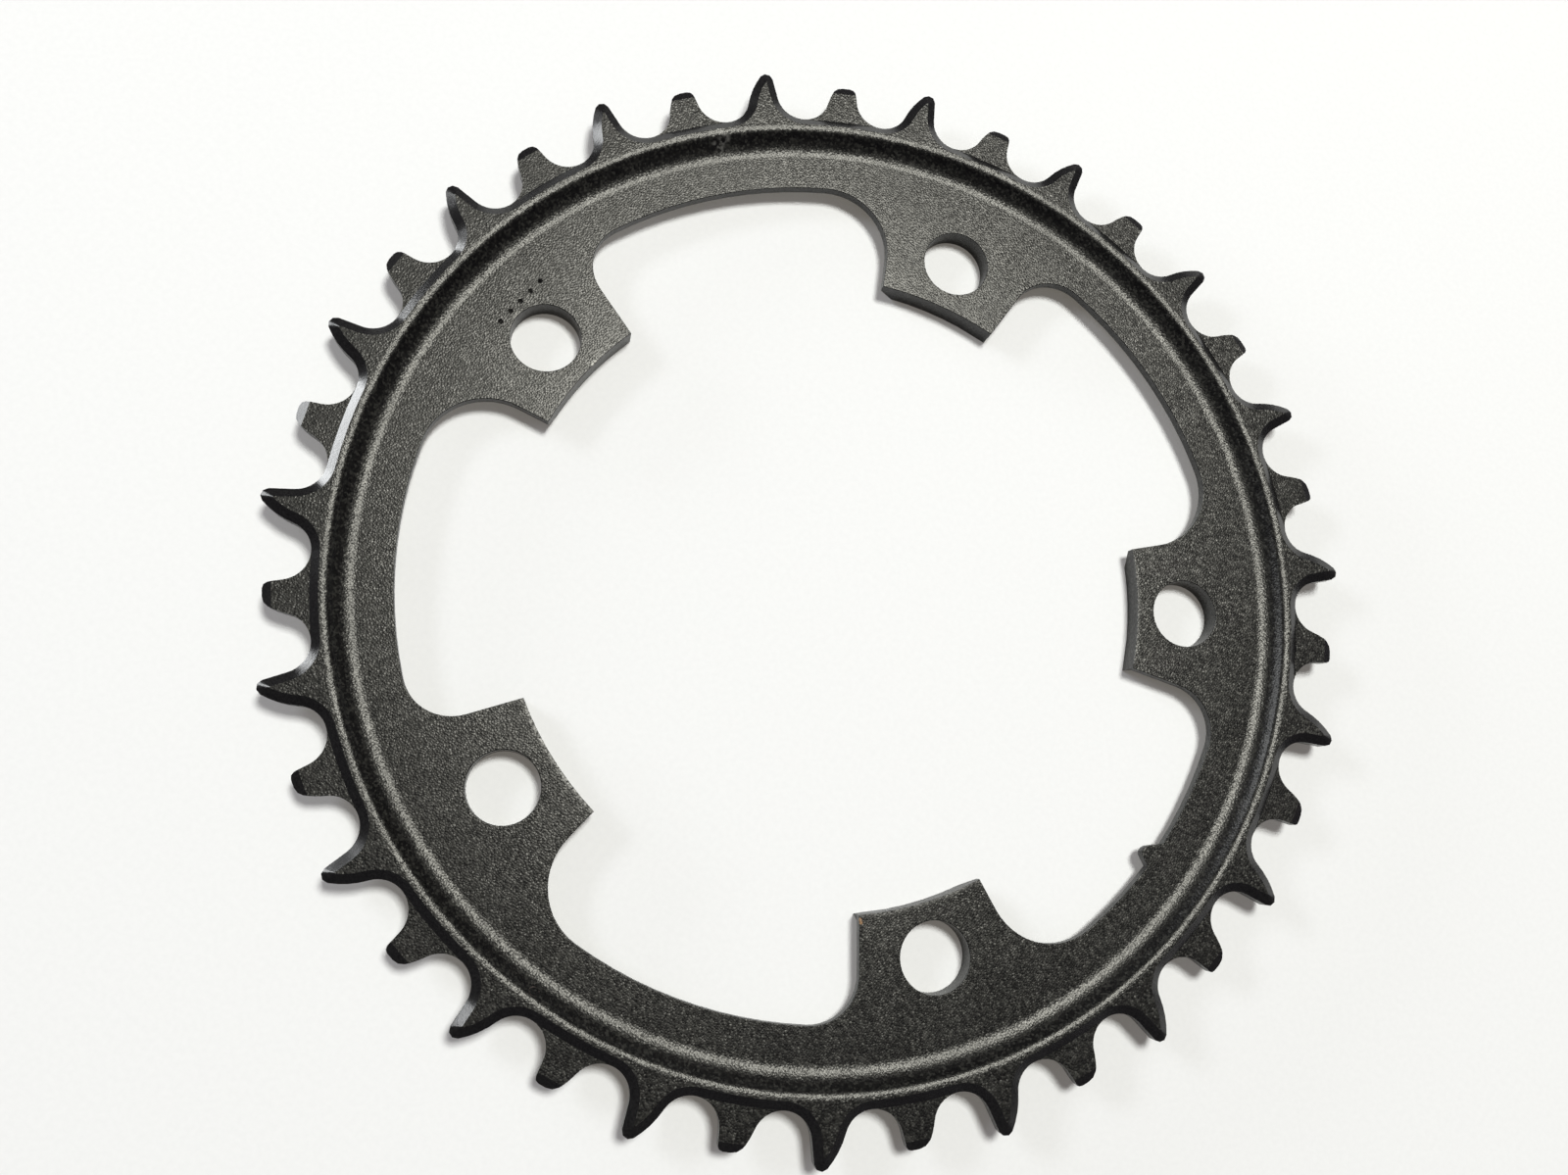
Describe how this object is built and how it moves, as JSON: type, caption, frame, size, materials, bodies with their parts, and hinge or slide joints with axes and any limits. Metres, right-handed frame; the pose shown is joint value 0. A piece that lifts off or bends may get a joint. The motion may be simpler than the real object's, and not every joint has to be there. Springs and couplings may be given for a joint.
{
  "type": "bicycle chainring",
  "caption": "Flat toothed steel ring with thin and thick teeth in turn and inward bolt tabs; it bolts to a crank spider and drives the bicycle chain.",
  "frame": {"origin": "on the spin axis, at the back faces of the tab pads", "axes": "+Z along the spin axis towards the outer face, +X through the bolt hole of the tab with the punched dots"},
  "size_m": [0.1601, 0.1598, 0.0056],
  "materials": {
    "black_coat": "satin black coat with a fine grain over steel"
  },
  "bodies": {
    "root": {"chainring": "black_coat"}
  },
  "joints": []
}
